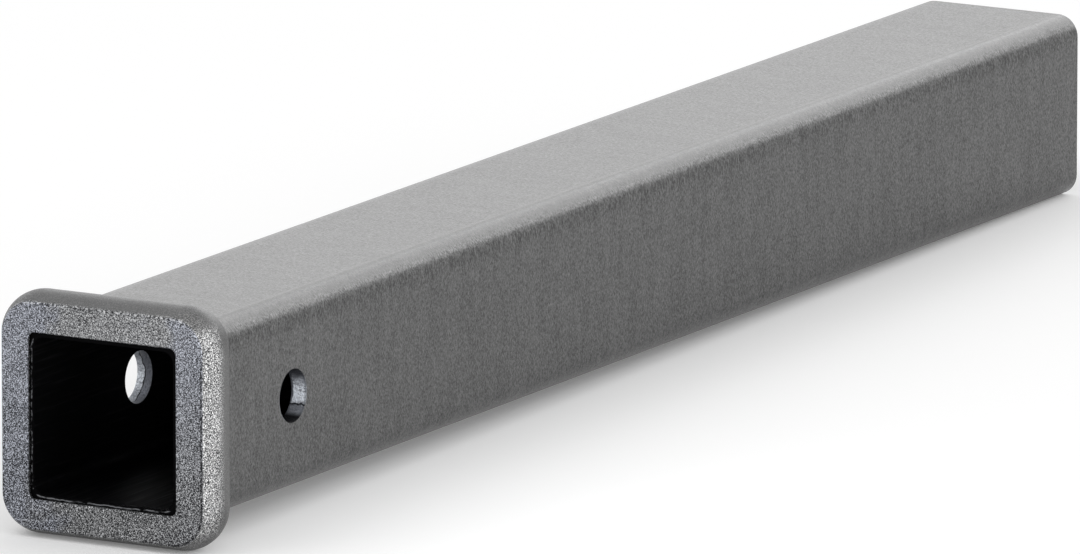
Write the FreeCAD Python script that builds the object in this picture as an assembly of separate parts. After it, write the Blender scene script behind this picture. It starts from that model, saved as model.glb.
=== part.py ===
import FreeCAD, Part
import math
import os

os.makedirs("parts", exist_ok=True)

# A weld-on hitch receiver tube: a length of square steel tube with a forged collar
# over its mouth and a hitch pin hole through both side walls.
#
# The origin is the centre of the hitch pin hole, on the axis of the tube. The tube
# lies along Y with its mouth towards -Y, the pin goes in along X, and Z is up.
# Every size is in millimetres.

# Square tube
TUBE_SIZE = 63.5
TUBE_WALL = 5.75
TUBE_OUTER_CORNER = 7.5
TUBE_BORE_CORNER = 4.0
OVERALL_LENGTH = 609.6

# Hitch pin hole
PIN_HOLE_DIAMETER = 17.5
PIN_HOLE_SETBACK = 67.5

# Collar: a flat face, sides that swell to a crown, and a rounded back
COLLAR_FACE_BORDER = 5.35
COLLAR_FACE_CORNER = 11.0
COLLAR_DEPTH = 19.0
COLLAR_CROWN_RISE = 2.9
COLLAR_CROWN_SETBACK = 8.8
COLLAR_BACK_ROUND = 5.0
COLLAR_FACE_EDGE_ROUND = 0.6
COLLAR_OPENING_CORNER = 2.4
COLLAR_OPENING_BREAK = 0.3
COLLAR_LIP = 1.2
NOSE_LEDGE = 1.45
SOCKET_CLEARANCE = 0.15

# Fillet weld between the back of the collar and the tube
WELD_LEG_ON_TUBE = 6.0
WELD_LEG_ON_COLLAR = 4.4
WELD_ROOT_DEPTH = 3.0
WELD_BULGE = 0.7

# Sizes across the tube: the collar's face stands out past the tube by its border, and
# the collar's opening leaves a ledge of the tube's nose bare all round the bore
TUBE_BORE_SIZE = TUBE_SIZE - 2 * TUBE_WALL
COLLAR_FACE_SIZE = TUBE_SIZE + 2 * COLLAR_FACE_BORDER
COLLAR_OPENING_SIZE = TUBE_BORE_SIZE + 2 * NOSE_LEDGE

# Stations along the tube
MOUTH_Y = -PIN_HOLE_SETBACK
NOSE_Y = MOUTH_Y + COLLAR_LIP
COLLAR_BACK_Y = MOUTH_Y + COLLAR_DEPTH
WELD_TOE_Y = COLLAR_BACK_Y + WELD_LEG_ON_TUBE
REAR_Y = MOUTH_Y + OVERALL_LENGTH

# How far a cutting tool runs past the metal that it cuts
OVERRUN = 2.0

# Points nearer to each other than this are the same point
TOLERANCE = 1e-6

AXIS = FreeCAD.Vector(0, 1, 0)
ORIGIN = FreeCAD.Vector(0, 0, 0)


def square_bar(size, corner, start, end):
    """A square bar with round long edges, on the axis of the tube."""
    bar = Part.makeBox(size, end - start, size, FreeCAD.Vector(-size / 2, start, -size / 2))
    long_edges = [
        edge for edge in bar.Edges
        if edge.tangentAt(edge.FirstParameter).cross(AXIS).Length < TOLERANCE
    ]
    return bar.makeFillet(corner, long_edges)


def rim_edges(shape, station, half_size):
    """The edges that lie across the tube at a station, within a half size of its axis."""
    found = []
    for edge in shape.Edges:
        box = edge.BoundBox
        off_station = max(abs(box.YMin - station), abs(box.YMax - station))
        reach = max(box.XMax, -box.XMin, box.ZMax, -box.ZMin)
        if off_station < TOLERANCE and reach < half_size + TOLERANCE:
            found.append(edge)
    return found


def carry_round(section, half_straight):
    """Carry a section round a square: along four straight sides, and turned at four corners.

    The section is a face in the XY plane. Its X is the distance from the axis of a corner,
    and half_straight is the distance of that axis from the middle planes of the square.
    """
    start = FreeCAD.Vector(half_straight, 0, half_straight)
    corner = section.revolve(ORIGIN, AXIS, -90)
    corner.translate(start)
    side = section.extrude(FreeCAD.Vector(0, 0, -2 * half_straight))
    side.translate(start)
    pieces = []
    for turn in (0, 90, 180, 270):
        for piece in (corner, side):
            placed = piece.copy()
            placed.rotate(ORIGIN, AXIS, turn)
            pieces.append(placed)
    return pieces


def only_solid(shape):
    """The one solid of a result that should be a single piece."""
    if len(shape.Solids) != 1:
        raise ValueError("expected one solid, found %d" % len(shape.Solids))
    return shape.Solids[0]


def make_receiver_tube():
    """The tube, from its nose behind the collar's lip to its sawn rear end.

    Its outside keeps an edge at the toe of the weld, where the clear faces begin.
    """
    inside_collar = square_bar(TUBE_SIZE, TUBE_OUTER_CORNER, NOSE_Y, WELD_TOE_Y)
    clear_run = square_bar(TUBE_SIZE, TUBE_OUTER_CORNER, WELD_TOE_Y, REAR_Y)
    bore = square_bar(TUBE_BORE_SIZE, TUBE_BORE_CORNER, NOSE_Y - OVERRUN, REAR_Y + OVERRUN)
    pin_reach = TUBE_SIZE / 2 + OVERRUN
    pin_hole = Part.makeCylinder(
        PIN_HOLE_DIAMETER / 2,
        2 * pin_reach,
        FreeCAD.Vector(-pin_reach, 0, 0),
        FreeCAD.Vector(1, 0, 0),
    )
    return only_solid(inside_collar.fuse(clear_run).cut(bore).cut(pin_hole))


def collar_section():
    """Half of the collar's outside, from the axis of a corner out to its crowned side.

    The crown is one arc from the face's edge over the widest place. A smaller arc,
    tangent to it, turns the side in to the flat back.
    """
    rise = COLLAR_CROWN_RISE
    setback = COLLAR_CROWN_SETBACK
    crown_radius = (setback ** 2 + rise ** 2) / (2 * rise)
    crown_x = COLLAR_FACE_CORNER + rise - crown_radius
    crown_y = MOUTH_Y + setback

    # The back's arc touches the crown's arc from inside, and the back face
    back_y = COLLAR_BACK_Y - COLLAR_BACK_ROUND
    between = crown_radius - COLLAR_BACK_ROUND
    back_x = crown_x + math.sqrt(between ** 2 - (back_y - crown_y) ** 2)
    join_angle = math.atan2(back_y - crown_y, back_x - crown_x)

    def on_crown(angle):
        return FreeCAD.Vector(
            crown_x + crown_radius * math.cos(angle),
            crown_y + crown_radius * math.sin(angle),
            0,
        )

    def on_back(angle):
        return FreeCAD.Vector(
            back_x + COLLAR_BACK_ROUND * math.cos(angle),
            back_y + COLLAR_BACK_ROUND * math.sin(angle),
            0,
        )

    face_edge = FreeCAD.Vector(COLLAR_FACE_CORNER, MOUTH_Y, 0)
    join = on_crown(join_angle)
    face_middle = FreeCAD.Vector(0, MOUTH_Y, 0)
    back_middle = FreeCAD.Vector(0, COLLAR_BACK_Y, 0)
    back_edge = on_back(math.pi / 2)
    outline = Part.Wire([
        Part.makeLine(face_middle, face_edge),
        Part.Arc(face_edge, on_crown(0), join).toShape(),
        Part.Arc(join, on_back((join_angle + math.pi / 2) / 2), back_edge).toShape(),
        Part.makeLine(back_edge, back_middle),
        Part.makeLine(back_middle, face_middle),
    ])
    return Part.Face(outline)


def make_collar():
    """The forged collar: crowned outside, a socket for the tube and a lip over its nose."""
    half_straight = COLLAR_FACE_SIZE / 2 - COLLAR_FACE_CORNER
    core = Part.makeBox(
        2 * half_straight,
        COLLAR_DEPTH,
        2 * half_straight,
        FreeCAD.Vector(-half_straight, MOUTH_Y, -half_straight),
    )
    blank = core.multiFuse(carry_round(collar_section(), half_straight)).removeSplitter()

    face_rim = rim_edges(blank, MOUTH_Y, COLLAR_FACE_SIZE / 2)
    blank = blank.makeFillet(COLLAR_FACE_EDGE_ROUND, face_rim)

    socket = square_bar(
        TUBE_SIZE + 2 * SOCKET_CLEARANCE,
        TUBE_OUTER_CORNER + SOCKET_CLEARANCE,
        NOSE_Y,
        COLLAR_BACK_Y + OVERRUN,
    )
    opening = square_bar(COLLAR_OPENING_SIZE, COLLAR_OPENING_CORNER, MOUTH_Y - OVERRUN, NOSE_Y + OVERRUN)
    collar = only_solid(blank.cut(socket).cut(opening))
    opening_rim = rim_edges(collar, MOUTH_Y, COLLAR_OPENING_SIZE / 2)
    return only_solid(collar.makeChamfer(COLLAR_OPENING_BREAK, opening_rim))


def weld_section():
    """The weld's section before the collar is taken out of it, from a corner axis of the tube."""
    surface = TUBE_OUTER_CORNER
    root = FreeCAD.Vector(surface, COLLAR_BACK_Y, 0)
    socket_edge = FreeCAD.Vector(surface + SOCKET_CLEARANCE, COLLAR_BACK_Y, 0)
    under_round = FreeCAD.Vector(surface + WELD_LEG_ON_COLLAR, COLLAR_BACK_Y - WELD_ROOT_DEPTH, 0)
    toe = FreeCAD.Vector(surface, WELD_TOE_Y, 0)
    chord = toe - under_round
    outward = FreeCAD.Vector(chord.y, -chord.x, 0).normalize()
    crest = (toe + under_round) * 0.5 + outward * WELD_BULGE
    return Part.Face(Part.Wire([
        Part.makeLine(root, socket_edge),
        Part.makeLine(socket_edge, under_round),
        Part.Arc(under_round, crest, toe).toShape(),
        Part.makeLine(toe, root),
    ]))


def make_collar_weld(collar):
    """One bead all the way round, lying in the corner between the tube and the collar's back."""
    half_straight = TUBE_SIZE / 2 - TUBE_OUTER_CORNER
    runs = carry_round(weld_section(), half_straight)
    bead = runs[0].multiFuse(runs[1:]).removeSplitter()
    return only_solid(bead.cut(collar))


collar = make_collar()
nodes = {
    "receiver_tube": make_receiver_tube(),
    "collar": collar,
    "collar_weld": make_collar_weld(collar),
}
for name, shape in nodes.items():
    shape.exportStep("parts/%s.step" % name)
    print("%s: %.1f cm3, valid %s" % (name, shape.Volume / 1000, shape.isValid()))
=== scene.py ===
"""Dresses a weld-on hitch receiver tube: bare steel finishes, a rippled weld bead and a studio."""
import math

import bmesh
import bpy
from bpy.props import FloatProperty, FloatVectorProperty, PointerProperty
from bpy.types import NodeSocket, Operator, Panel, PropertyGroup
from mathutils import Matrix, Vector


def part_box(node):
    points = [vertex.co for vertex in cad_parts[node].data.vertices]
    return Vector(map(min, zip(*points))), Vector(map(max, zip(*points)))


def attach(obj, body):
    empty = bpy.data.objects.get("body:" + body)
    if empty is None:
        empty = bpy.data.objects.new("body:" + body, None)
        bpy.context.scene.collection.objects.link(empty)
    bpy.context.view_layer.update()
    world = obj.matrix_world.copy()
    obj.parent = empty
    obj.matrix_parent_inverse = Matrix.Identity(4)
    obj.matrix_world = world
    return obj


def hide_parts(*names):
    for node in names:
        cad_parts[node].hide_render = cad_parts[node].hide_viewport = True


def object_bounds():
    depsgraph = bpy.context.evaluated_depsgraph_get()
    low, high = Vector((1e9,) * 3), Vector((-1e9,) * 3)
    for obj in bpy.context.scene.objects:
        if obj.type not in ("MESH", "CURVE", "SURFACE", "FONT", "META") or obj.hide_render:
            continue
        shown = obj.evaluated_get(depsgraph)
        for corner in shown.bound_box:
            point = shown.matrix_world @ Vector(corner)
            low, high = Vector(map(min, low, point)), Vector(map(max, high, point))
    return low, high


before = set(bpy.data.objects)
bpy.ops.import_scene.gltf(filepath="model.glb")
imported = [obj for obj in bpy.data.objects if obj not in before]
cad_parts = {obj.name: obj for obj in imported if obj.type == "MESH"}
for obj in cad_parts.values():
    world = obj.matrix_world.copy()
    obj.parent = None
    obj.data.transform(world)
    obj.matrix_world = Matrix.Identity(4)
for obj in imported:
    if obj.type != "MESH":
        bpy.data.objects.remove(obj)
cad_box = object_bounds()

bl_info = {
    "name": "Hitch receiver tube",
    "version": (1, 0, 0),
    "blender": (4, 5, 0),
    "location": "3D View > Sidebar > Receiver tube",
    "description": "Bare steel finishes, a weld bead and a studio for a hitch receiver tube",
    "category": "Object",
}

MM = 0.001

# The tube, the collar and the weld as the frame gives them, in millimetres
TUBE_LOW, TUBE_HIGH = (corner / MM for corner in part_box("receiver_tube"))
COLLAR_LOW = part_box("collar")[0] / MM
WELD_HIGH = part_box("collar_weld")[1] / MM
TUBE_HALF = TUBE_HIGH.x
NOSE_Y = TUBE_LOW.y
REAR_Y = TUBE_HIGH.y
FACE_Y = COLLAR_LOW.y
TOE_Y = WELD_HIGH.y

# Sizes that a box doesn't give, in millimetres
TUBE_WALL = 5.75
TUBE_CORNER = 7.5
BORE_CORNER = 4.0
BORE_HALF = TUBE_HALF - TUBE_WALL
PIN_RADIUS = 8.75
FACE_HALF = 37.1
FACE_CORNER = 11.0
CROWN_SETBACK = 8.8
WELD_LEG = 4.4
WELD_LENGTH = 9.0
WELD_BULGE = 0.7

# Masks that are worked out from a place reach this far past the edge of their region, in millimetres
SKIN = 0.15

# Most of a noise lies in its narrow range and nearly all of it in its wide range
NOISE = (0.3, 0.7)
WIDE_NOISE = (0.2, 0.8)

# The camera, found by fitting the photograph's outlines. The frame is 1080 by 554 pixels.
# Angles are in degrees, lengths in millimetres and the clip in metres.
CAMERA_AZIMUTH = 29.42
CAMERA_ELEVATION = 11.95
CAMERA_DISTANCE = 6215.0
CAMERA_AIM = (27.5, 169.8, 7.4)
CAMERA_LENS = 627.0
CAMERA_SENSOR = 36.0
CAMERA_CLIP = (0.1, 60.0)

# The lamps: azimuth and elevation in degrees, then distance, width and height in metres
LAMPS = {
    "key": (-48, 50, 3.0, 2.4, 2.4),
    "right": (94, 30, 3.0, 2.4, 1.6),
    "rear": (173, 27, 8.0, 8.0, 3.6),
    "left_rear": (-150, 14, 8.0, 4.0, 2.5),
}

# The strip light stands close beside the collar, below the level of the tube's top. In metres.
STRIP_PLACE = (0.25, -0.05, -0.003)
STRIP_AZIMUTH = 89
STRIP_SIZE = (0.26, 0.064)

# The floor reaches this far, in metres. Its glow rises from near the part to far out.
FLOOR_REACH = 12.0
GLOW_NEAR, GLOW_FAR = 1.0, 5.0
GLOW_STRENGTH_NEAR, GLOW_STRENGTH_FAR = 0.14, 0.42
PAPER_WHITE = "#f3f3f3"
WHITE = "#ffffff"

# How strongly the white surround lights the part
SURROUND_LIGHT = 0.65


def srgb(code):
    """A hex colour such as "#8c8c8c" as linear red, green, blue and alpha."""
    channels = [int(code[place:place + 2], 16) / 255 for place in (1, 3, 5)]
    linear = [c / 12.92 if c <= 0.04045 else ((c + 0.055) / 1.055) ** 2.4 for c in channels]
    return (*linear, 1.0)


def colour_property(name, description, code):
    """A colour that a user can change."""
    return FloatVectorProperty(
        name=name, description=description, subtype="COLOR", size=4, min=0, max=1, default=srgb(code),
    )


def length_property(name, description, millimetres):
    """A length that a user can change, shown in scene units."""
    return FloatProperty(
        name=name, description=description, subtype="DISTANCE", unit="LENGTH", min=0, precision=5,
        default=millimetres * MM,
    )


def brightness_property(name, description, value):
    """How bright a lamp looks in a mirror, where white paper in full light is 1."""
    return FloatProperty(name=name, description=description, min=0, max=20, default=value)


class TubeLook(PropertyGroup):
    """Colours and sizes of the tube's finish."""

    light_steel: colour_property("Light steel", "Lighter grains of the bare strip", "#747474")
    dark_steel: colour_property("Dark steel", "Darker grains of the bare strip", "#3c3c3c")
    # The bore scale also serves as painted shade at the top and bottom of the right pin hole's wall.
    bore_scale: colour_property("Bore scale", "Dark mill scale left inside the bore", "#1b1b1d")
    # Painted shade: the near-black nose stands in for the shadow under the collar's lip.
    nose_scale: colour_property("Nose scale", "Black scale on the nose, under the collar's lip", "#0a0a0b")
    worn_scale: colour_property("Worn scale", "Streaks in the bore where the scale is rubbed", "#3a3a3d")
    ledge_burr: colour_property("Ledge burr", "Thin bright burr on the nose of the tube", "#77787b")
    bright_wall: colour_property("Bright wall", "Bright part of the pin hole's wall", "#d3d8df")
    dull_wall: colour_property("Dull wall", "Dull part of the pin hole's wall", "#5a5c62")
    grain_width: length_property("Grain width", "Width of a grain along the tube", 0.58)
    grain_length: length_property("Grain length", "Length of a grain across a face", 1.0)


class CollarLook(PropertyGroup):
    """Colours and sizes of the collar's finish."""

    light_forging: colour_property("Light forging", "Peaks of the blasted grain on the face", "#dedfe1")
    dark_forging: colour_property("Dark forging", "Pits of the blasted grain", "#1e1f21")
    blue_forging: colour_property("Blue forging", "Peaks of the grain where the face looks bluish", "#dce0ec")
    # Painted highlight: the crown's right side is lighter in colour, standing in for the light that falls on
    # it.
    crown_forging: colour_property("Crown forging", "Peaks of the grain on the crown's right side", "#fafafa")
    calm_forging: colour_property("Calm forging", "Top and underside, where grain hardly shows", "#646464")
    # Painted shade: this dark colour stands in for shade down the face's right edge, between the glints along
    # its top edge, and in the corners on and behind the crown.
    edge_scale: colour_property("Edge scale", "Dark scale left in the face's edge and the corners", "#1a1a1c")
    grit_size: length_property("Grit size", "Width of one dimple of the blasted grain", 0.42)
    grit_depth: length_property("Grit depth", "Depth of the blasted grain", 0.15)


class WeldLook(PropertyGroup):
    """Colours and sizes of the weld bead."""

    weld_metal: colour_property("Weld metal", "Crests of the bead", "#86868a")
    weld_valley: colour_property("Weld valley", "Troughs between the ripples", "#4c4a4a")
    ripple_pitch: length_property("Ripple pitch", "Distance from one ripple to the next", 1.6)
    ripple_height: length_property("Ripple height", "Height of a ripple's crest over its trough", 0.22)
    ripple_sweep: length_property("Ripple sweep", "How far a ripple's middle runs ahead of its ends", 2.2)


class StudioLook(PropertyGroup):
    """Brightness of the lamps."""

    key: brightness_property("Key light", "Large soft box at the front left", 1.0)
    right: brightness_property("Right light", "Soft box to the right", 1.5)
    rear: brightness_property("Rear light", "Wide soft box behind the part", 1.85)
    left_rear: brightness_property("Left rear light", "Low soft box behind and to the left", 0.7)
    strip: brightness_property("Strip light", "Small soft box beside the collar", 3.0)


def add_node(tree, kind, inputs=(), **settings):
    """Add a shader node with its settings, fill or link its inputs, and return its first shown output.

    The inputs are numbers, colours or other nodes' outputs. They are listed in the order
    of the node's shown sockets, or given by the sockets' names.
    """
    made = tree.nodes.new("ShaderNode" + kind)
    for name, value in settings.items():
        setattr(made, name, value)
    shown = [socket for socket in made.inputs if socket.enabled]
    places = inputs.items() if isinstance(inputs, dict) else enumerate(inputs)
    for place, value in places:
        socket = made.inputs[place] if isinstance(place, str) else shown[place]
        if isinstance(value, NodeSocket):
            tree.links.new(value, socket)
        else:
            socket.default_value = value
    return next((socket for socket in made.outputs if socket.enabled), None)


def new_material(name):
    """An empty node material."""
    material = bpy.data.materials.new(name)
    material.use_nodes = True
    material.node_tree.nodes.clear()
    return material


def place_in_mm(tree):
    """Where a point of the surface is in the part's own frame, in millimetres, and its three coordinates."""
    coordinates = add_node(tree, "TexCoord").node.outputs
    place = add_node(tree, "VectorMath", (coordinates["Object"], 1 / MM), operation="SCALE")
    axes = add_node(tree, "SeparateXYZ", (place,)).node.outputs
    return place, axes


def blotches(tree, place, size, seed, detail=2.0, roughness=0.5):
    """Noise from 0 to 1 whose blotches have the given size in millimetres along x, y and z."""
    per_mm = [1 / length for length in size]
    moved = add_node(tree, "VectorMath", (place, per_mm, (seed, seed, seed)), operation="MULTIPLY_ADD")
    return add_node(
        tree, "TexNoise", {"Vector": moved, "Scale": 1.0, "Detail": detail, "Roughness": roughness},
    )


def overlap(tree, *masks):
    """The place where all the masks are."""
    place = masks[0]
    for mask in masks[1:]:
        place = add_node(tree, "Math", (place, mask), operation="MULTIPLY")
    return place


def layered(tree, *layers):
    """Several patterns laid over each other, so that their values add up."""
    whole = layers[0]
    for layer in layers[1:]:
        whole = add_node(tree, "Math", (whole, layer), operation="ADD")
    return whole


def band(tree, value, low, high, edge):
    """A mask that is 1 between low and high and fades over an edge on both sides."""
    return overlap(
        tree,
        add_node(tree, "MapRange", (value, low - edge, low + edge)),
        add_node(tree, "MapRange", (value, high - edge, high + edge, 1.0, 0.0)),
    )


def past_outline(tree, axes, half, corner):
    """How far a point lies outside a rounded square round the y axis. Deep inside it stays at -corner."""
    squares = []
    for name in ("X", "Z"):
        off_middle = add_node(tree, "Math", (axes[name],), operation="ABSOLUTE")
        past_corner = add_node(tree, "Math", (off_middle, half - corner), operation="SUBTRACT")
        out = add_node(tree, "Math", (past_corner, 0.0), operation="MAXIMUM")
        squares.append(overlap(tree, out, out))
    reach = add_node(tree, "Math", (layered(tree, *squares),), operation="SQRT")
    return add_node(tree, "Math", (reach, corner), operation="SUBTRACT")


def cover(tree, mask, under, over):
    """Lay a finish over another where the mask is 1.

    A finish is a colour, a roughness and a height in millimetres.
    """
    kinds = ("RGBA", "FLOAT", "FLOAT")
    return [
        add_node(tree, "Mix", (mask, below, above), data_type=kind)
        for kind, below, above in zip(kinds, under, over)
    ]


def finish_steel(tree, colour, roughness, height):
    """Bare metal with a colour, a roughness and a relief whose height is in millimetres."""
    bump = add_node(tree, "Bump", {"Height": height, "Distance": MM, "Strength": 1.0})
    inputs = {"Base Color": colour, "Metallic": 1.0, "Roughness": roughness, "Normal": bump}
    shader = add_node(tree, "BsdfPrincipled", inputs)
    add_node(tree, "OutputMaterial", {"Surface": shader})


def bare_strip(tree, place, axes, look):
    """Hot-rolled strip, pickled and left bare.

    Its skin is dull, with grains that lie across each face and catch the light
    differently, softer patches, and faint columns across each face. The real grains are
    finer, and are drawn as coarse as they need to be to show. The forming rolls rubbed
    the rounded edges smoother, and left short strokes where the upper edges meet the
    sides. Across each rounded edge the colour is painted as light and shade: lighter
    where the round leaves the top and darker a little further down.
    """
    width, length = look.grain_width / MM, look.grain_length / MM
    fine = blotches(tree, place, (length, width, length), 3.0, roughness=0.9)
    patches = blotches(tree, place, (4 * length, 4 * width, 4 * length), 7.0, detail=1.0)
    columns = blotches(tree, place, (25 * length, 9 * width, 25 * length), 12.0)
    strokes = blotches(tree, place, (2.5, 0.5, 2.5), 17.0, detail=1.0)
    sideways = add_node(tree, "Math", (axes["X"],), operation="ABSOLUTE")
    upwards = add_node(tree, "Math", (axes["Z"],), operation="ABSOLUTE")

    # It is 0 on an edge's diagonal, below -TUBE_CORNER on top and above TUBE_CORNER on a side
    from_diagonal = add_node(tree, "Math", (sideways, upwards), operation="SUBTRACT")
    share = layered(
        tree,
        add_node(tree, "MapRange", (fine, 0.33, 0.67)),
        add_node(tree, "MapRange", (patches, *WIDE_NOISE, -0.08, 0.08)),
        add_node(tree, "MapRange", (columns, *NOISE, -0.08, 0.08)),
        overlap(
            tree,
            band(tree, from_diagonal, 4.5, TUBE_CORNER + 2.0, 1.5),
            add_node(tree, "MapRange", (axes["Z"], 0.0, 5.0)),
            add_node(tree, "MapRange", (strokes, *NOISE, -0.45, 0.2)),
        ),
    )
    # Painted light and shade across each round: lighter where it leaves the top, darker a little further
    # down.
    round_start, round_middle, round_end = -8.5, -4.5, 0.5
    rubbed = overlap(tree, band(tree, from_diagonal, round_start, round_end, 1.0), 0.6)
    rubbed_share = layered(
        tree,
        add_node(tree, "MapRange", (from_diagonal, round_start, round_middle, 0.85, 0.31)),
        add_node(tree, "MapRange", (from_diagonal, round_middle, -2.75, 0.0, 0.2)),
    )
    share = add_node(tree, "Mix", (rubbed, share, rubbed_share), data_type="FLOAT")
    colour = add_node(tree, "Mix", (share, look.dark_steel, look.light_steel), data_type="RGBA")
    roughness = add_node(tree, "MapRange", (fine, *WIDE_NOISE, 0.36, 0.28))
    height = add_node(tree, "Math", (fine, 0.06), operation="MULTIPLY")
    return colour, roughness, height


def bore_skin(tree, place, look):
    """Mill scale left inside the bore: nearly black, with a few rubbed streaks along it."""
    streaks = blotches(tree, place, (1.2, 30.0, 1.2), 11.0, detail=3.0)
    rubbed = add_node(tree, "MapRange", (streaks, 0.55, 0.75))
    colour = add_node(tree, "Mix", (rubbed, look.bore_scale, look.worn_scale), data_type="RGBA")
    roughness = add_node(tree, "MapRange", (streaks, *WIDE_NOISE, 0.62, 0.45))
    height = add_node(tree, "Math", (streaks, 0.05), operation="MULTIPLY")
    return colour, roughness, height


def nose_ledge(tree, place, axes, depth, look):
    """The tube's nose behind the collar's lip: painted near-black shade under the lip, with a thin bright
    burr.

    The burr is drawn only along the left and the bottom, where light reaches past the lip, so it is partly a
    real burr and partly a painted highlight. At the left only dots of the burr show.
    """
    wobble = blotches(tree, place, (4.0, 4.0, 4.0), 21.0)
    gaps = blotches(tree, place, (2.5, 2.5, 2.5), 23.0)
    drift = add_node(tree, "MapRange", (wobble, *NOISE, -0.3, 0.3))
    lowest = add_node(tree, "Math", (axes["X"], axes["Z"]), operation="MINIMUM")
    dots = blotches(tree, place, (0.9, 0.9, 0.9), 25.0)
    dotted = add_node(tree, "MapRange", (dots, 0.45, 0.6))
    on_left = add_node(tree, "Math", (axes["X"], -BORE_HALF), operation="LESS_THAN")
    line = overlap(
        tree,
        band(tree, layered(tree, depth, drift), 0.65, 1.05, 0.15),
        add_node(tree, "MapRange", (gaps, 0.3, 0.45)),
        add_node(tree, "Mix", (on_left, 1.0, dotted), data_type="FLOAT"),
        add_node(tree, "Math", (lowest, -BORE_HALF), operation="LESS_THAN"),
    )
    # Painted shade and highlight: the nose is near-black under the lip, and the burr shows only at the left
    # and bottom, where light reaches it.
    colour = add_node(tree, "Mix", (line, look.nose_scale, look.ledge_burr), data_type="RGBA")
    roughness = add_node(tree, "MapRange", (gaps, *NOISE, 0.55, 0.4))
    height = add_node(tree, "Math", (line, 0.15), operation="MULTIPLY")
    return colour, roughness, height


def punched_wall(tree, place, axes, depth, look):
    """The pin hole's wall.

    The punch went in from the right. It drew the right wall's rim in, so that this wall
    opens outwards, and left a crack low down. In the left wall the inner part is dull and
    smooth, and a wavy crack parts it from the bright outer part. A painted highlight
    brightens the right wall in the middle and the left wall from mid-height down, and
    painted shade darkens the right wall towards its top and bottom.
    """
    scores = blotches(tree, place, (3.0, 0.7, 0.7), 5.0, detail=3.0, roughness=0.65)
    specks = blotches(tree, place, (0.5, 0.5, 0.5), 6.0)
    waves = blotches(tree, place, (5.0, 5.0, 5.0), 8.0, detail=3.0, roughness=0.6)
    drift = add_node(tree, "MapRange", (waves, *NOISE, -0.6, 0.6))
    level = layered(tree, axes["Z"], drift)
    on_right = add_node(tree, "Math", (axes["X"], 0.0), operation="GREATER_THAN")
    on_left = add_node(tree, "Math", (1.0, on_right), operation="SUBTRACT")
    dull_depth = add_node(tree, "Mix", (on_right, 3.1, 0.7), data_type="FLOAT")
    past_dull = add_node(tree, "Math", (layered(tree, depth, drift), dull_depth), operation="SUBTRACT")
    bright_part = add_node(tree, "MapRange", (past_dull, -0.1, 0.2))
    left_crack = overlap(tree, on_left, band(tree, past_dull, -0.3, 0.0, 0.1))
    right_crack = overlap(tree, on_right, band(tree, level, -4.6, -4.2, 0.15))
    crack = add_node(tree, "Math", (left_crack, right_crack), operation="MAXIMUM")
    # Painted highlight: the walls are brightened by height, in the middle of the right wall and from
    # mid-height down on the left wall.
    right_glow = overlap(
        tree,
        add_node(tree, "MapRange", (level, -5.0, -3.0, 0.15, 1.0)),
        add_node(tree, "MapRange", (level, 0.5, 5.5, 1.0, 0.0)),
        add_node(tree, "MapRange", (depth, TUBE_WALL - 0.9, TUBE_WALL - 0.4, 1.0, 0.45)),
    )
    left_glow = overlap(
        tree,
        add_node(tree, "MapRange", (level, -6.5, -4.0, 0.3, 0.8)),
        add_node(tree, "MapRange", (level, -1.0, 5.0, 1.0, 0.25)),
    )
    glow = overlap(
        tree,
        add_node(tree, "Mix", (on_right, left_glow, right_glow), data_type="FLOAT"),
        layered(
            tree,
            add_node(tree, "MapRange", (scores, *NOISE, 0.4, 1.3)),
            add_node(tree, "MapRange", (specks, *NOISE, -0.45, 0.45)),
        ),
    )
    bright = add_node(tree, "Mix", (glow, look.dull_wall, look.bright_wall), data_type="RGBA")
    colour = add_node(tree, "Mix", (bright_part, look.dull_wall, bright), data_type="RGBA")
    # Painted shade: the right wall darkens to the bore's colour towards its top and bottom.
    low_end = add_node(tree, "MapRange", (axes["Z"], -7.8, -6.6, 1.0, 0.0))
    high_end = add_node(tree, "MapRange", (level, 3.0, 7.5, 0.0, 0.8))
    ends = overlap(tree, on_right, add_node(tree, "Math", (low_end, high_end), operation="MAXIMUM"))
    colour = add_node(tree, "Mix", (ends, colour, look.bore_scale), data_type="RGBA")
    colour = add_node(tree, "Mix", (crack, colour, look.bore_scale), data_type="RGBA")
    roughness = add_node(tree, "MapRange", (bright_part, 0.0, 1.0, 0.4, 0.5))

    # The right wall opens outwards in its relief alone. The hole itself is straight.
    flare = 0.45
    drawn_in = add_node(tree, "MapRange", (depth, 0.0, TUBE_WALL, 0.0, -flare * TUBE_WALL))
    height = layered(
        tree,
        overlap(tree, on_right, drawn_in),
        add_node(tree, "Math", (scores, 0.2), operation="MULTIPLY"),
        add_node(tree, "Math", (specks, 0.3), operation="MULTIPLY"),
        add_node(tree, "Math", (crack, -0.3), operation="MULTIPLY"),
    )
    return colour, roughness, height


def sawn_end(tree, place, look):
    """A saw cut across the tube: fine parallel lines on bright steel."""
    lines = blotches(tree, place, (14.0, 1.0, 0.5), 9.0)
    share = add_node(tree, "MapRange", (lines, *NOISE, 0.0, 0.65))
    colour = add_node(tree, "Mix", (share, look.light_steel, look.bright_wall), data_type="RGBA")
    roughness = add_node(tree, "MapRange", (lines, *WIDE_NOISE, 0.5, 0.35))
    height = add_node(tree, "Math", (lines, 0.06), operation="MULTIPLY")
    return colour, roughness, height


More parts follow.
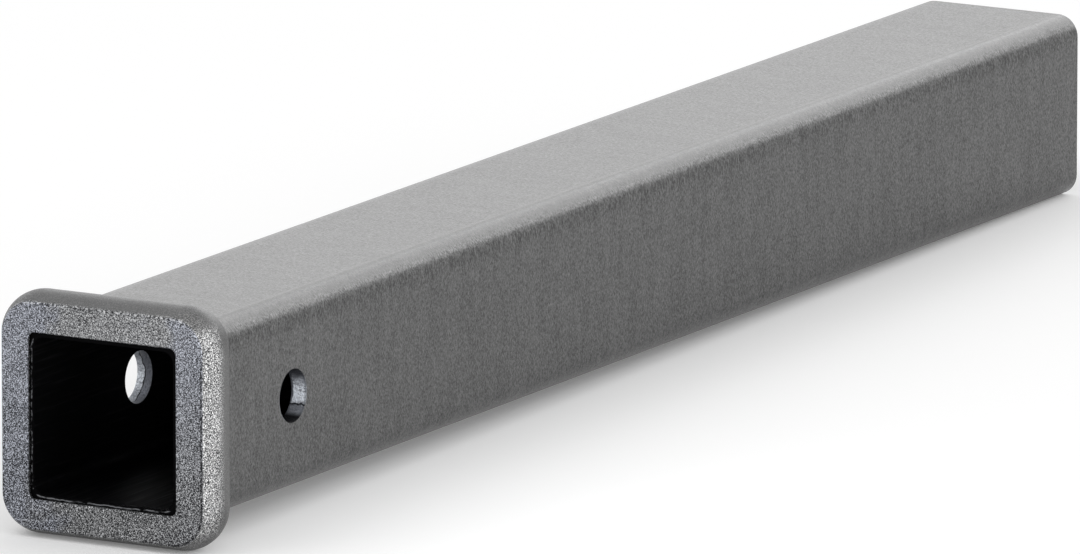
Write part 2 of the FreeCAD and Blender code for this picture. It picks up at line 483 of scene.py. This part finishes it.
def bare_steel_tube(look):
    """Welded square tube in bare steel. Each region of its surface has the finish that its making left."""
    material = new_material("bare_mill_steel_tube")
    tree = material.node_tree
    place, axes = place_in_mm(tree)
    depth = past_outline(tree, axes, BORE_HALF, BORE_CORNER)
    across = add_node(tree, "VectorMath", (place, (0, 1, 1)), operation="MULTIPLY")
    from_pin = add_node(tree, "VectorMath", (across,), operation="LENGTH")

    in_bore = add_node(tree, "Math", (depth, SKIN), operation="LESS_THAN")
    at_end = add_node(tree, "Math", (axes["Y"], REAR_Y - SKIN), operation="GREATER_THAN")
    at_nose = add_node(tree, "Math", (axes["Y"], NOSE_Y + SKIN), operation="LESS_THAN")
    at_hole = overlap(
        tree,
        add_node(tree, "Math", (depth, SKIN), operation="GREATER_THAN"),
        add_node(tree, "Math", (from_pin, PIN_RADIUS + SKIN), operation="LESS_THAN"),
    )

    finish = bare_strip(tree, place, axes, look)
    finish = cover(tree, at_end, finish, sawn_end(tree, place, look))
    finish = cover(tree, in_bore, finish, bore_skin(tree, place, look))
    finish = cover(tree, at_nose, finish, nose_ledge(tree, place, axes, depth, look))
    finish = cover(tree, at_hole, finish, punched_wall(tree, place, axes, depth, look))
    finish_steel(tree, *finish)
    return material


def face_edges(tree, axes, breaks):
    """Two masks of the face's edge: painted shade and painted glints.

    The shade is painted down the right and in places along the top, and the glints are painted between those.
    """
    corner_axis = FACE_HALF - FACE_CORNER
    past_face = past_outline(tree, axes, FACE_HALF, FACE_CORNER)
    # Painted shade down the face's right edge.
    dark_right = overlap(
        tree,
        add_node(tree, "MapRange", (past_face, -0.6, -0.3)),
        add_node(tree, "MapRange", (axes["Y"], FACE_Y + 0.2, FACE_Y + 0.4, 1.0, 0.0)),
        add_node(tree, "MapRange", (axes["X"], corner_axis - 8.0, corner_axis)),
        add_node(tree, "MapRange", (axes["Z"], corner_axis - 4.0, corner_axis + 2.0, 1.0, 0.0)),
        add_node(tree, "MapRange", (breaks, 0.38, 0.56, 0.25, 0.9)),
    )
    top_edge = overlap(
        tree,
        add_node(tree, "MapRange", (past_face, -0.45, -0.15)),
        add_node(tree, "MapRange", (axes["Y"], FACE_Y + 0.35, FACE_Y + 0.7, 1.0, 0.0)),
        add_node(tree, "MapRange", (axes["Z"], FACE_HALF - 3.0, FACE_HALF - 1.0)),
    )
    # Painted highlight: glints along the top edge, with darker gaps between them.
    dark_top = overlap(tree, top_edge, add_node(tree, "MapRange", (breaks, 0.45, 0.52, 0.7, 0.0)))
    glint = overlap(tree, top_edge, add_node(tree, "MapRange", (breaks, 0.5, 0.62, 0.0, 0.45)))
    return add_node(tree, "Math", (dark_right, dark_top), operation="MAXIMUM"), glint


def blasted_forging(look):
    """Drop-forged steel, shot-blasted and left bare.

    Its grain is coarse and each dimple glints. The real dimples are finer, and are drawn
    as coarse as they need to be to show. Painted shade darkens the face towards the
    bottom, and the face is bluish down its left border and at the upper right. Behind the
    face the crown's right side is painted brighter as a highlight, while on the left, the
    top, the underside and round the back the grain hardly shows. The corners are painted
    lighter just behind the face, as a highlight, and darker on and behind the crown's
    highest line, as shade. Painted shade runs down the face's right edge, and painted
    glints break along its top edge.
    """
    material = new_material("shot_blasted_forged_steel")
    tree = material.node_tree
    place, axes = place_in_mm(tree)
    grit, depth = look.grit_size / MM, look.grit_depth / MM
    corner_axis = FACE_HALF - FACE_CORNER
    crown_y = FACE_Y + CROWN_SETBACK
    grains = blotches(tree, place, (grit, grit, grit), 2.0, roughness=0.6)
    sparks = blotches(tree, place, (0.8 * grit, 0.8 * grit, 0.8 * grit), 27.0, detail=1.0)
    waves = blotches(tree, place, (9.0, 9.0, 9.0), 4.0)
    tints = blotches(tree, place, (12.0, 12.0, 12.0), 14.0)
    breaks = blotches(tree, place, (1.2, 1.2, 1.2), 19.0)
    sideways = add_node(tree, "Math", (axes["X"],), operation="ABSOLUTE")
    upwards = add_node(tree, "Math", (axes["Z"],), operation="ABSOLUTE")
    on_face = add_node(tree, "MapRange", (axes["Y"], FACE_Y + 0.3, FACE_Y + 0.6, 1.0, 0.0))
    off_face = add_node(tree, "Math", (1.0, on_face), operation="SUBTRACT")

    calm = overlap(
        tree,
        add_node(
            tree, "MapRange", (upwards, FACE_HALF - 5.5, FACE_HALF - 1.5), interpolation_type="SMOOTHSTEP",
        ),
        add_node(tree, "MapRange", (axes["Y"], FACE_Y + 0.4, FACE_Y + 1.2)),
    )
    round_the_back = add_node(
        tree, "MapRange", (axes["Y"], crown_y - 2.5, crown_y + 2.0), interpolation_type="SMOOTHSTEP",
    )
    at_left = add_node(tree, "MapRange", (axes["X"], 5.5 - FACE_HALF, 1.5 - FACE_HALF, 0.0, 0.6))
    left_crown = overlap(tree, off_face, at_left)
    for region in (round_the_back, left_crown):
        calm = add_node(tree, "Math", (calm, region), operation="MAXIMUM")
    in_corner = add_node(tree, "Math", (sideways, upwards), operation="MINIMUM")
    # Painted highlight: the corners just behind the face are made lighter.
    lighter_corner = overlap(
        tree,
        add_node(tree, "MapRange", (in_corner, corner_axis - 1.0, corner_axis + 5.0)),
        add_node(tree, "MapRange", (axes["Y"], FACE_Y + 3.5, FACE_Y + 7.0, 1.0, 0.0)),
    )

    raised = add_node(tree, "MapRange", (grains, 0.34, 0.72))
    glints = add_node(tree, "Math", (raised, 1.75), operation="POWER")
    # Painted light and shade: the face is lighter towards the top and darker towards the bottom.
    light_from_above = add_node(tree, "MapRange", (axes["Z"], -25.0, 18.0, -0.08, 0.035))
    share = layered(
        tree,
        glints,
        add_node(tree, "MapRange", (sparks, 0.6, 0.7, 0.0, 0.7)),
        add_node(tree, "MapRange", (sparks, 0.3, 0.4, -0.3, 0.0)),
        add_node(tree, "MapRange", (waves, *NOISE, -0.04, 0.04)),
        overlap(tree, on_face, light_from_above),
    )
    drifting = layered(tree, axes["X"], add_node(tree, "MapRange", (tints, *NOISE, -8.0, 8.0)))
    blue_left = add_node(tree, "MapRange", (drifting, -26.0, -16.0, 1.0, 0.0))
    blue_right = overlap(
        tree,
        add_node(tree, "MapRange", (drifting, 16.0, 26.0)),
        add_node(tree, "MapRange", (axes["Z"], -20.0, 20.0, 0.15, 0.9)),
    )
    blue = overlap(tree, on_face, add_node(tree, "Math", (blue_left, blue_right), operation="MAXIMUM"))
    # Painted highlight on the crown's right side.
    on_right_crown = overlap(tree, off_face, add_node(tree, "MapRange", (axes["X"], 10.0, 30.0)))
    peaks = add_node(tree, "Mix", (blue, look.light_forging, look.blue_forging), data_type="RGBA")
    peaks = add_node(tree, "Mix", (on_right_crown, peaks, look.crown_forging), data_type="RGBA")

    # Painted shade: the corners darken on and behind the crown's highest line.
    scaled_corner = overlap(
        tree,
        add_node(tree, "MapRange", (in_corner, corner_axis - 2.0, corner_axis + 3.0)),
        add_node(tree, "MapRange", (axes["Y"], crown_y - 5.0, crown_y - 1.0, 0.0, 0.3)),
    )
    dark_edge, glinting_edge = face_edges(tree, axes, breaks)
    calm_share = overlap(tree, calm, add_node(tree, "MapRange", (lighter_corner, 0.0, 1.0, 0.9, 0.68)))
    colour = add_node(tree, "Mix", (share, look.dark_forging, peaks), data_type="RGBA")
    colour = add_node(tree, "Mix", (calm_share, colour, look.calm_forging), data_type="RGBA")
    colour = add_node(tree, "Mix", (scaled_corner, colour, look.edge_scale), data_type="RGBA")
    colour = add_node(tree, "Mix", (dark_edge, colour, look.edge_scale), data_type="RGBA")
    colour = add_node(tree, "Mix", (glinting_edge, colour, look.light_forging), data_type="RGBA")
    roughness = add_node(tree, "MapRange", (grains, *NOISE, 0.5, 0.36))
    height = overlap(
        tree,
        layered(
            tree,
            add_node(tree, "Math", (grains, 2 * depth), operation="MULTIPLY"),
            add_node(tree, "Math", (waves, depth), operation="MULTIPLY"),
        ),
        add_node(tree, "MapRange", (calm, 0.0, 1.0, 1.0, 0.3)),
    )
    finish_steel(tree, colour, roughness, height)
    return material


def arc_weld_metal(look):
    """Bare arc weld metal, as it froze: smooth crests and darker, rougher troughs with a trace of slag."""
    material = new_material("bare_arc_weld_steel")
    tree = material.node_tree
    place, _ = place_in_mm(tree)
    crest = add_node(tree, "Attribute", attribute_name="crest").node.outputs["Fac"]
    specks = blotches(tree, place, (0.5, 0.5, 0.5), 0.0)
    tint = blotches(tree, place, (5.0, 5.0, 5.0), 31.0)
    share = layered(
        tree,
        crest,
        add_node(tree, "MapRange", (specks, *NOISE, -0.2, 0.2)),
        add_node(tree, "MapRange", (tint, *NOISE, -0.2, 0.2)),
    )
    colour = add_node(tree, "Mix", (share, look.weld_valley, look.weld_metal), data_type="RGBA")
    roughness = add_node(tree, "MapRange", (share, 0.0, 1.0, 0.5, 0.3))
    height = add_node(tree, "Math", (specks, 0.04), operation="MULTIPLY")
    finish_steel(tree, colour, roughness, height)
    return material


class RECEIVER_OT_finish_tube(Operator):
    """Give the square tube its bare steel finish"""

    bl_idname = "receiver.finish_tube"
    bl_label = "Finish the tube"

    def execute(self, context):
        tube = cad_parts["receiver_tube"]
        tube.material_slots[0].material = bare_steel_tube(context.scene.tube_look)
        return {"FINISHED"}


class RECEIVER_OT_finish_collar(Operator):
    """Give the forged collar its shot-blasted finish"""

    bl_idname = "receiver.finish_collar"
    bl_label = "Finish the collar"

    def execute(self, context):
        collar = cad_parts["collar"]
        collar.material_slots[0].material = blasted_forging(context.scene.collar_look)
        return {"FINISHED"}


def place_round_tube(way, rise, y):
    """A point at a way along the tube's outside, a rise above it, at a station y. All in millimetres."""
    straight = 2 * (TUBE_HALF - TUBE_CORNER)
    quarter = math.pi / 2 * TUBE_CORNER
    side, rest = divmod(way, straight + quarter)
    axis = straight / 2
    reach = TUBE_CORNER + rise
    if rest < straight:
        x, z = axis + reach, rest - axis
    else:
        turn = (rest - straight) / TUBE_CORNER
        x, z = axis + reach * math.cos(turn), axis + reach * math.sin(turn)
    return Matrix.Rotation(-side * math.pi / 2, 3, "Y") @ Vector((x, y, z))


def wander(share, seed):
    """A slow, uneven wave from -1 to 1 that closes on itself as share goes from 0 to 1."""
    waves = ((7, 0.5), (17, 0.3), (31, 0.2))
    return sum(size * math.sin(2 * math.pi * count * share + seed * count) for count, size in waves)


def ripple(phase):
    """A ripple's height from 0 to 1: a long rise, then a short fall."""
    phase %= 1.0
    long_side = 0.7
    if phase < long_side:
        return 0.5 - 0.5 * math.cos(math.pi * phase / long_side)
    return 0.5 + 0.5 * math.cos(math.pi * (phase - long_side) / (1 - long_side))


def make_weld_bead(look):
    """One bead round the tube: a bulged fillet whose ripples bow ahead in the middle.

    Its section runs from the toe on the tube to a place under the collar's round back,
    and closes just under the tube's surface.
    """
    pitch, crest_height, sweep = look.ripple_pitch / MM, look.ripple_height / MM, look.ripple_sweep / MM
    round_trip = 8 * (TUBE_HALF - TUBE_CORNER) + 2 * math.pi * TUBE_CORNER
    ripple_count = round(round_trip / pitch)
    steps_per_ripple = 9
    stations = ripple_count * steps_per_ripple
    rows = 17

    # A ripple rises above the bead's plain shape where its height, from 0 to 1, passes this
    mean_crest = 0.6

    # In millimetres: how deep the bead's edges lie under the tube, and how far its crown and toe wander
    sunk = 0.12
    swell = 0.12
    toe_slip = 0.35

    shape = bmesh.new()
    crest_layer = shape.verts.layers.float.new("crest")
    rings = []
    for station in range(stations):
        share = station / stations
        uneven = wander(share, 1.3)
        toe = toe_slip * wander(share, 4.1)
        ring = []
        for row in range(rows):
            t = row / (rows - 1)
            hump = 4 * t * (1 - t)
            lead = sweep * hump / pitch
            crest = ripple(share * ripple_count - lead + 0.5 * uneven)
            rise = WELD_LEG * t + WELD_BULGE * hump + hump * crest_height * (crest - mean_crest)
            rise += swell * uneven * hump
            y = TOE_Y - WELD_LENGTH * t + (1 - t) * toe
            if row == 0:
                rise = -sunk
            vert = shape.verts.new(place_round_tube(share * round_trip, rise, y) * MM)
            vert[crest_layer] = crest
            ring.append(vert)
        ring.append(shape.verts.new(place_round_tube(share * round_trip, -sunk, TOE_Y - WELD_LENGTH) * MM))
        rings.append(ring)
    for ring, following in zip(rings, rings[1:] + rings[:1]):
        around = list(zip(ring, ring[1:] + ring[:1], following[1:] + following[:1], following))
        for corners in around:
            shape.faces.new(corners)
    bmesh.ops.recalc_face_normals(shape, faces=shape.faces)
    for face in shape.faces:
        face.smooth = True
    mesh = bpy.data.meshes.new("weld_bead")
    shape.to_mesh(mesh)
    shape.free()
    return mesh


class RECEIVER_OT_make_weld(Operator):
    """Make the rippled weld bead behind the collar"""

    bl_idname = "receiver.make_weld"
    bl_label = "Make the weld"

    def execute(self, context):
        look = context.scene.weld_look
        mesh = make_weld_bead(look)
        mesh.materials.append(arc_weld_metal(look))
        bead = link(bpy.data.objects.new("rippled_weld", mesh))
        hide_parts("collar_weld")
        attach(bead, "root")
        return {"FINISHED"}


def direction_at(azimuth, elevation):
    """The unit vector towards an azimuth and elevation in degrees. Azimuth 0 is towards -Y, 90 towards +X."""
    a, e = math.radians(azimuth), math.radians(elevation)
    return Vector((math.sin(a) * math.cos(e), -math.cos(a) * math.cos(e), math.sin(e)))


def facing(back):
    """The turn that makes an object's -Z look against a direction."""
    return (-back).to_track_quat("-Z", "Y").to_matrix().to_4x4()


def link(thing):
    """Put a new object in the scene."""
    bpy.context.scene.collection.objects.link(thing)
    return thing


def seen_rays(tree):
    """1 for a ray from the camera, a reflection or a transmission, and 0 for one that only lights."""
    path = add_node(tree, "LightPath").node.outputs
    seen = add_node(tree, "Math", (path["Is Camera Ray"], path["Is Glossy Ray"]), operation="MAXIMUM")
    return add_node(tree, "Math", (seen, path["Is Transmission Ray"]), operation="MAXIMUM")


def build_floor():
    """A wide white floor that the part lies on, touched by the collar's crown and the tube's rear edge.

    It glows a little where it is seen, and more far out, where the lamps don't reach, so
    that it stays white.
    """
    front = Vector((0, FACE_Y + CROWN_SETBACK, COLLAR_LOW.z)) * MM
    rear = Vector((0, REAR_Y, TUBE_LOW.z)) * MM
    run = rear - front
    tilt = math.atan2(run.z, run.y)
    mesh = bpy.data.meshes.new("floor")
    shape = bmesh.new()
    bmesh.ops.create_grid(shape, x_segments=1, y_segments=1, size=FLOOR_REACH)
    shape.to_mesh(mesh)
    shape.free()
    floor = link(bpy.data.objects.new("floor", mesh))
    floor.matrix_world = Matrix.Translation(front) @ Matrix.Rotation(tilt, 4, "X")
    material = new_material("white_studio_paper")
    tree = material.node_tree
    paper = add_node(tree, "BsdfDiffuse", {"Color": srgb(PAPER_WHITE)})
    coordinates = add_node(tree, "TexCoord").node.outputs
    from_part = add_node(tree, "VectorMath", (coordinates["Object"],), operation="LENGTH")
    outwards = add_node(
        tree, "MapRange", (from_part, GLOW_NEAR, GLOW_FAR, GLOW_STRENGTH_NEAR, GLOW_STRENGTH_FAR),
    )
    strength = overlap(tree, seen_rays(tree), outwards)
    glow = add_node(tree, "Emission", {"Color": srgb(WHITE), "Strength": strength})
    shader = add_node(tree, "AddShader", (paper, glow))
    add_node(tree, "OutputMaterial", {"Surface": shader})
    mesh.materials.append(material)


def build_world():
    """A white surround, full to the camera and to reflections, and softer as a light."""
    world = bpy.data.worlds.new("studio")
    world.use_nodes = True
    bpy.context.scene.world = world
    tree = world.node_tree
    tree.nodes.clear()
    strength = add_node(tree, "MapRange", (seen_rays(tree), 0.0, 1.0, SURROUND_LIGHT, 1.0))
    shader = add_node(tree, "Background", {"Color": srgb(WHITE), "Strength": strength})
    add_node(tree, "OutputWorld", {"Surface": shader})


def soft_box(name, place, back, width, height, brightness):
    """A soft box at a place, which shines against the direction back.

    At a brightness of 1 it looks like white paper.
    """
    light = bpy.data.lights.new(name, "AREA")
    light.shape = "RECTANGLE"
    light.size, light.size_y = width, height
    light.energy = brightness * math.pi * width * height
    box = link(bpy.data.objects.new(name, light))
    box.matrix_world = Matrix.Translation(place) @ facing(back)
    box.visible_camera = False


def build_lamps(look):
    """The soft boxes round the part, and the strip light beside its collar."""
    middle = (cad_box[0] + cad_box[1]) / 2
    for name, (azimuth, elevation, distance, width, height) in LAMPS.items():
        back = direction_at(azimuth, elevation)
        soft_box(name + "_light", middle + back * distance, back, width, height, getattr(look, name))
    soft_box("strip_light", Vector(STRIP_PLACE), direction_at(STRIP_AZIMUTH, 0), *STRIP_SIZE, look.strip)


def build_camera():
    """The camera that sees the part as the photograph does."""
    camera = bpy.data.cameras.new("camera")
    camera.sensor_width = CAMERA_SENSOR
    camera.lens = CAMERA_LENS
    camera.clip_start, camera.clip_end = CAMERA_CLIP
    back = direction_at(CAMERA_AZIMUTH, CAMERA_ELEVATION)
    eye = Vector(CAMERA_AIM) * MM + back * CAMERA_DISTANCE * MM
    holder = link(bpy.data.objects.new("camera", camera))
    holder.matrix_world = Matrix.Translation(eye) @ facing(back)
    bpy.context.scene.camera = holder


class RECEIVER_OT_build_studio(Operator):
    """Make the floor, the lamps and the camera"""

    bl_idname = "receiver.build_studio"
    bl_label = "Build the studio"

    def execute(self, context):
        build_floor()
        build_world()
        build_lamps(context.scene.studio_look)
        build_camera()
        context.scene.view_settings.view_transform = "Standard"
        return {"FINISHED"}


class VIEW3D_PT_receiver_tube(Panel):
    """The steps that dress the receiver tube"""

    bl_label = "Receiver tube"
    bl_space_type = "VIEW_3D"
    bl_region_type = "UI"
    bl_category = "Receiver tube"

    def draw(self, context):
        for name in LOOKS:
            group = getattr(context.scene, name)
            for field in group.bl_rna.properties:
                if field.identifier not in ("rna_type", "name"):
                    self.layout.prop(group, field.identifier)
        for step in OPERATORS:
            self.layout.operator(step.bl_idname)


LOOKS = {
    "tube_look": TubeLook,
    "collar_look": CollarLook,
    "weld_look": WeldLook,
    "studio_look": StudioLook,
}
OPERATORS = (
    RECEIVER_OT_finish_tube,
    RECEIVER_OT_finish_collar,
    RECEIVER_OT_make_weld,
    RECEIVER_OT_build_studio,
)
CLASSES = (*LOOKS.values(), *OPERATORS, VIEW3D_PT_receiver_tube)


def register():
    """Add the add-on's classes and its settings."""
    for item in CLASSES:
        bpy.utils.register_class(item)
    for name, group in LOOKS.items():
        setattr(bpy.types.Scene, name, PointerProperty(type=group))


def unregister():
    """Take the settings and the classes away again."""
    for name in LOOKS:
        delattr(bpy.types.Scene, name)
    for item in reversed(CLASSES):
        bpy.utils.unregister_class(item)


def main():
    """Dress the part, step by step."""
    register()
    bpy.ops.receiver.finish_tube()
    bpy.ops.receiver.finish_collar()
    bpy.ops.receiver.make_weld()
    bpy.ops.receiver.build_studio()


if __name__ == "__main__":
    main()
